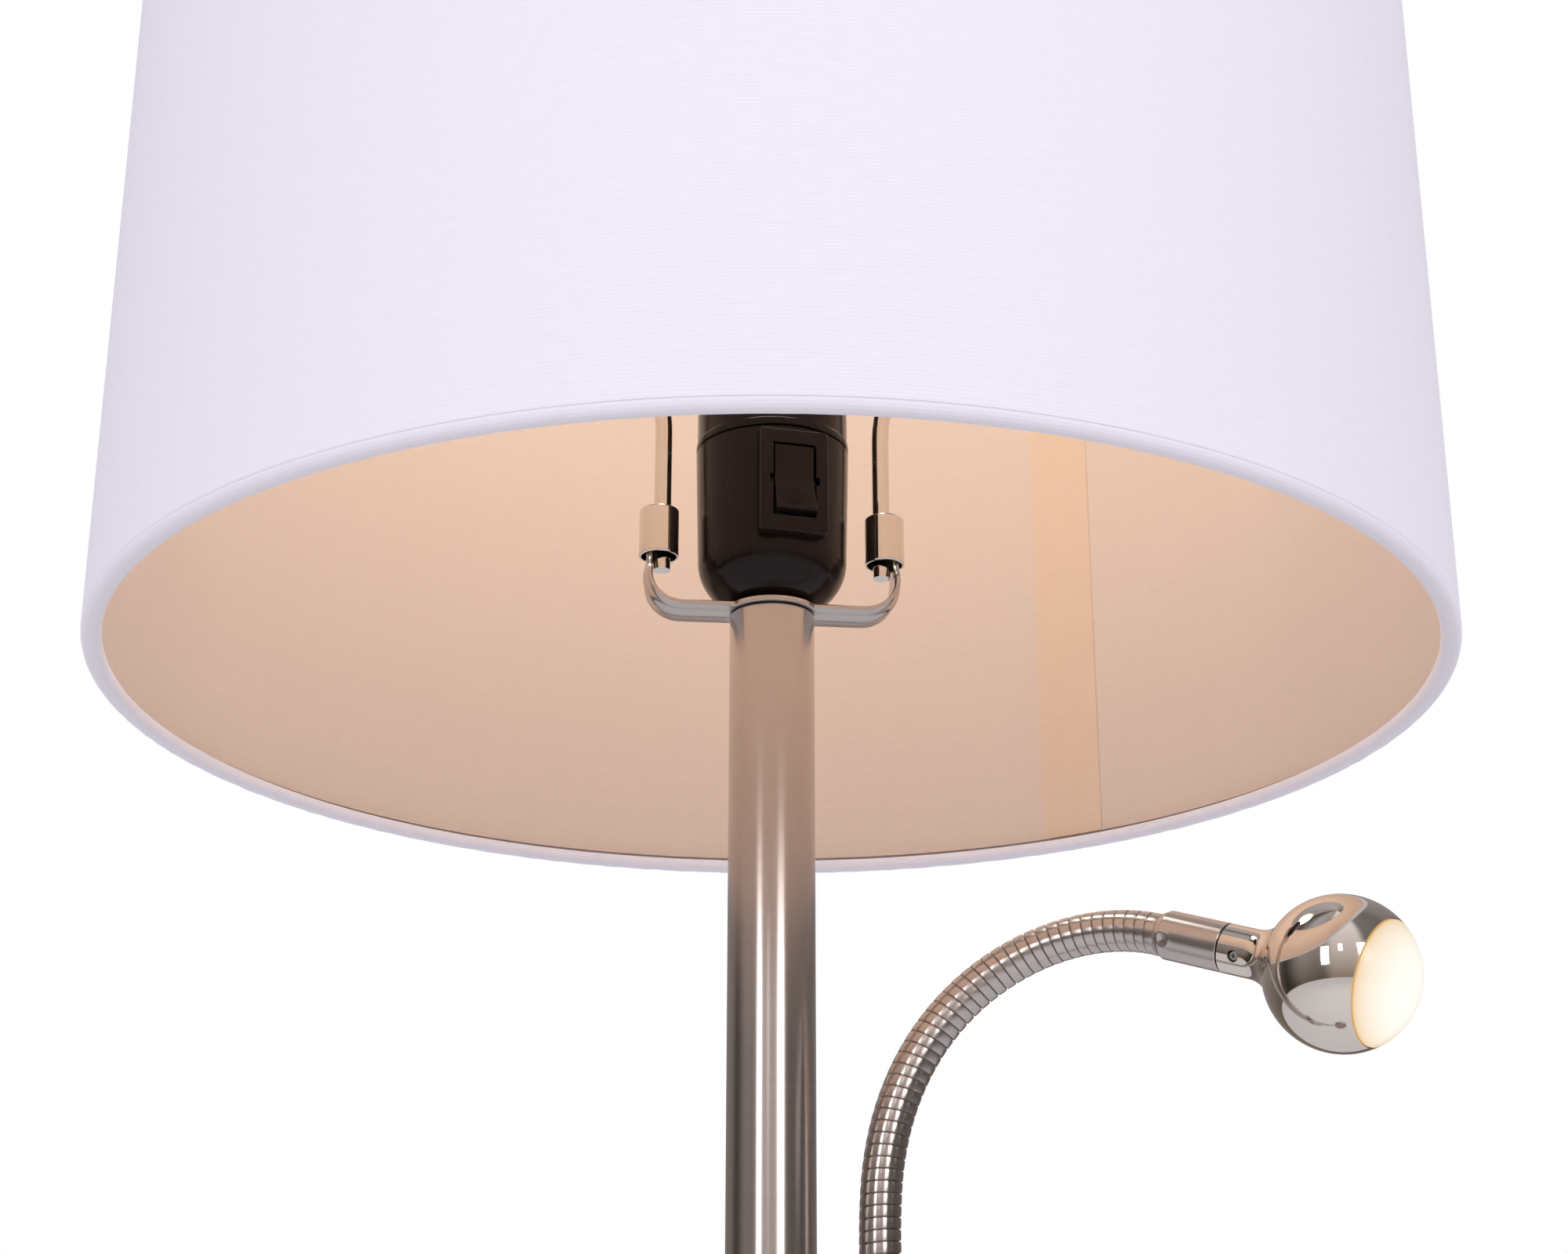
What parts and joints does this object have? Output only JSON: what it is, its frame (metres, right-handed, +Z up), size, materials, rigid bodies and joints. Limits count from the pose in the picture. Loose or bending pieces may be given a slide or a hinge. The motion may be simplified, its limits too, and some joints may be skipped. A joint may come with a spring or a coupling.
{
  "type": "floor lamp",
  "caption": "Floor lamp with a drum shade on a harp over a rocker-switch socket, a weighted round base and a bendable gooseneck reading light beside the pole.",
  "frame": {"origin": "centre of the underside of the base, on the floor", "axes": "+Z up along the pole; -Y towards the front of the lamp, where the socket's rocker faces; +X towards the reading arm"},
  "size_m": [0.3, 0.3, 1.5118],
  "materials": {
    "nickel": "satin, circumferentially brushed",
    "chrome": "bright polished",
    "steel": "zinc plated",
    "iron": "rough cast",
    "brass": "machined",
    "aluminium": "plain",
    "phenolic": "glossy moulded",
    "plastic": "matt",
    "rubber": "matt",
    "fabric": "plain weave, matt",
    "liner": "satin sheet",
    "bulb_glass": "frosted",
    "lens": "frosted",
    "board": "matt"
  },
  "bodies": {
    "stand": {"base_pad": "rubber", "base_weight": "iron", "base_cover": "nickel", "base_washer": "steel", "base_nut": "steel", "stem_nipple": "steel", "cord_bushing": "rubber", "pole_foot": "nickel", "pole_tube_1": "nickel", "pole_coupling_1": "nickel", "pole_tube_2": "nickel", "pole_coupling_2": "nickel", "pole_tube_3": "nickel", "pole_foot_plug": "steel", "pole_top_plug": "steel", "saddle": "nickel", "harp_bow": "chrome", "harp_stud": "brass", "socket_nipple": "steel", "socket_nut": "steel", "socket_cap": "phenolic", "socket_shell": "phenolic", "socket_core": "plastic", "screw_shell": "brass", "centre_contact": "brass", "arm_hub": "nickel", "hub_screw": "steel", "switch_housing": "nickel", "switch_body": "plastic"},
    "rocker": {"rocker": "phenolic"},
    "ferrule_left": {"ferrule_left": "chrome"},
    "ferrule_right": {"ferrule_right": "chrome"},
    "bulb": {"bulb_cap": "aluminium", "bulb_globe": "bulb_glass"},
    "shade": {"shade_fabric": "fabric", "shade_liner": "liner", "shade_hem_bottom": "fabric", "shade_hem_top": "fabric", "shade_ring_bottom": "steel", "shade_spider": "steel"},
    "finial": {"finial": "nickel"},
    "switch_button": {"switch_button": "phenolic"},
    "arm_base": {"arm_foot": "nickel", "arm_nut": "steel", "arm_stem": "nickel"},
    "arm_link_1": {"arm_link_1": "nickel"},
    "arm_link_2": {"arm_link_2": "nickel"},
    "arm_link_3": {"arm_link_3": "nickel"},
    "arm_link_4": {"arm_link_4": "nickel"},
    "arm_link_5": {"arm_link_5": "nickel"},
    "arm_link_6": {"arm_link_6": "nickel"},
    "arm_link_7": {"arm_link_7": "nickel"},
    "arm_link_8": {"arm_link_8": "nickel"},
    "arm_link_9": {"arm_link_9": "nickel"},
    "reading_head": {"head_sleeve": "nickel", "head_shell": "chrome", "head_screw": "steel", "heat_sink": "aluminium", "led_board": "board", "lens": "lens"}
  },
  "joints": [
    {"name": "arm_swivel", "type": "hinge", "parent": "stand", "child": "arm_base", "pos_m": [0.02262, 0, 1.062], "axis": [0, 0, 1], "range_deg": [-90, 90]},
    {"name": "arm_bend", "type": "hinge", "parent": "arm_base", "child": "arm_link_1", "pos_m": [0.02262, 0, 1.1566], "axis": [-0.2287, 0.9735, 0], "range_deg": [-6, 5]},
    {"name": "arm_bend_2", "type": "hinge", "parent": "arm_link_1", "child": "arm_link_2", "pos_m": [0.02337, 0.00017, 1.16752], "axis": [-0.127, 0.9919, -0.0073], "range_deg": [-6, 5]},
    {"name": "arm_bend_3", "type": "hinge", "parent": "arm_link_2", "child": "arm_link_3", "pos_m": [0.02576, 0.00056, 1.17819], "axis": [0.0153, 0.9991, -0.0394], "range_deg": [-6, 5]},
    {"name": "arm_bend_4", "type": "hinge", "parent": "arm_link_3", "child": "arm_link_4", "pos_m": [0.02994, 0.00089, 1.1883], "axis": [0.1545, 0.9833, -0.0964], "range_deg": [-6, 5]},
    {"name": "arm_bend_5", "type": "hinge", "parent": "arm_link_4", "child": "arm_link_5", "pos_m": [0.03594, 0.00085, 1.19745], "axis": [0.2736, 0.9458, -0.1747], "range_deg": [-6, 5]},
    {"name": "tip_bend", "type": "hinge", "parent": "arm_link_5", "child": "arm_link_6", "pos_m": [0.04363, 0.00006, 1.2052], "axis": [0.3583, 0.8955, -0.2639], "range_deg": [-6, 5]},
    {"name": "tip_bend_2", "type": "hinge", "parent": "arm_link_6", "child": "arm_link_7", "pos_m": [0.05268, -0.00184, 1.21107], "axis": [0.4024, 0.8469, -0.3475], "range_deg": [-6, 5]},
    {"name": "tip_bend_3", "type": "hinge", "parent": "arm_link_7", "child": "arm_link_8", "pos_m": [0.06252, -0.00507, 1.21458], "axis": [0.4128, 0.8155, -0.4057], "range_deg": [-6, 5]},
    {"name": "tip_bend_4", "type": "hinge", "parent": "arm_link_8", "child": "arm_link_9", "pos_m": [0.07242, -0.00968, 1.21538], "axis": [0.4111, 0.8094, -0.4193], "range_deg": [-6, 5]},
    {"name": "tip_bend_5", "type": "hinge", "parent": "arm_link_9", "child": "reading_head", "pos_m": [0.08148, -0.01541, 1.21321], "axis": [0.4214, 0.8165, -0.3947], "range_deg": [-6, 5]},
    {"name": "rocker_tilt", "type": "hinge", "parent": "stand", "child": "rocker", "pos_m": [0.00468, -0.01748, 1.31555], "axis": [0.9659, 0.2588, 0], "range_deg": [0, 16]},
    {"name": "ferrule_left_slide", "type": "slide", "parent": "stand", "child": "ferrule_left", "axis": [0, 0, 1], "range_m": [0, 0.012]},
    {"name": "ferrule_right_slide", "type": "slide", "parent": "stand", "child": "ferrule_right", "axis": [0, 0, 1], "range_m": [0, 0.012]},
    {"name": "switch_push", "type": "slide", "parent": "stand", "child": "switch_button", "axis": [0, 0, 1], "range_m": [0, 0.0025], "stiffness_N_per_m": 300, "springref_m": -0.0005},
    {"name": "bulb_turn", "type": "hinge", "parent": "stand", "child": "bulb", "pos_m": [0, 0, 1.34], "axis": [0, 0, 1], "continuous": true},
    {"name": "shade_turn", "type": "hinge", "parent": "stand", "child": "shade", "pos_m": [0, 0, 1.486], "axis": [0, 0, 1], "continuous": true},
    {"name": "finial_turn", "type": "hinge", "parent": "shade", "child": "finial", "pos_m": [0, 0, 1.49], "axis": [0, 0, 1], "continuous": true}
  ],
  "couplings": [
    {"joint": "arm_bend_2", "follows": "arm_bend", "ratio": 1},
    {"joint": "arm_bend_3", "follows": "arm_bend", "ratio": 1},
    {"joint": "arm_bend_4", "follows": "arm_bend", "ratio": 1},
    {"joint": "arm_bend_5", "follows": "arm_bend", "ratio": 1},
    {"joint": "tip_bend_2", "follows": "tip_bend", "ratio": 1},
    {"joint": "tip_bend_3", "follows": "tip_bend", "ratio": 1},
    {"joint": "tip_bend_4", "follows": "tip_bend", "ratio": 1},
    {"joint": "tip_bend_5", "follows": "tip_bend", "ratio": 1}
  ]
}
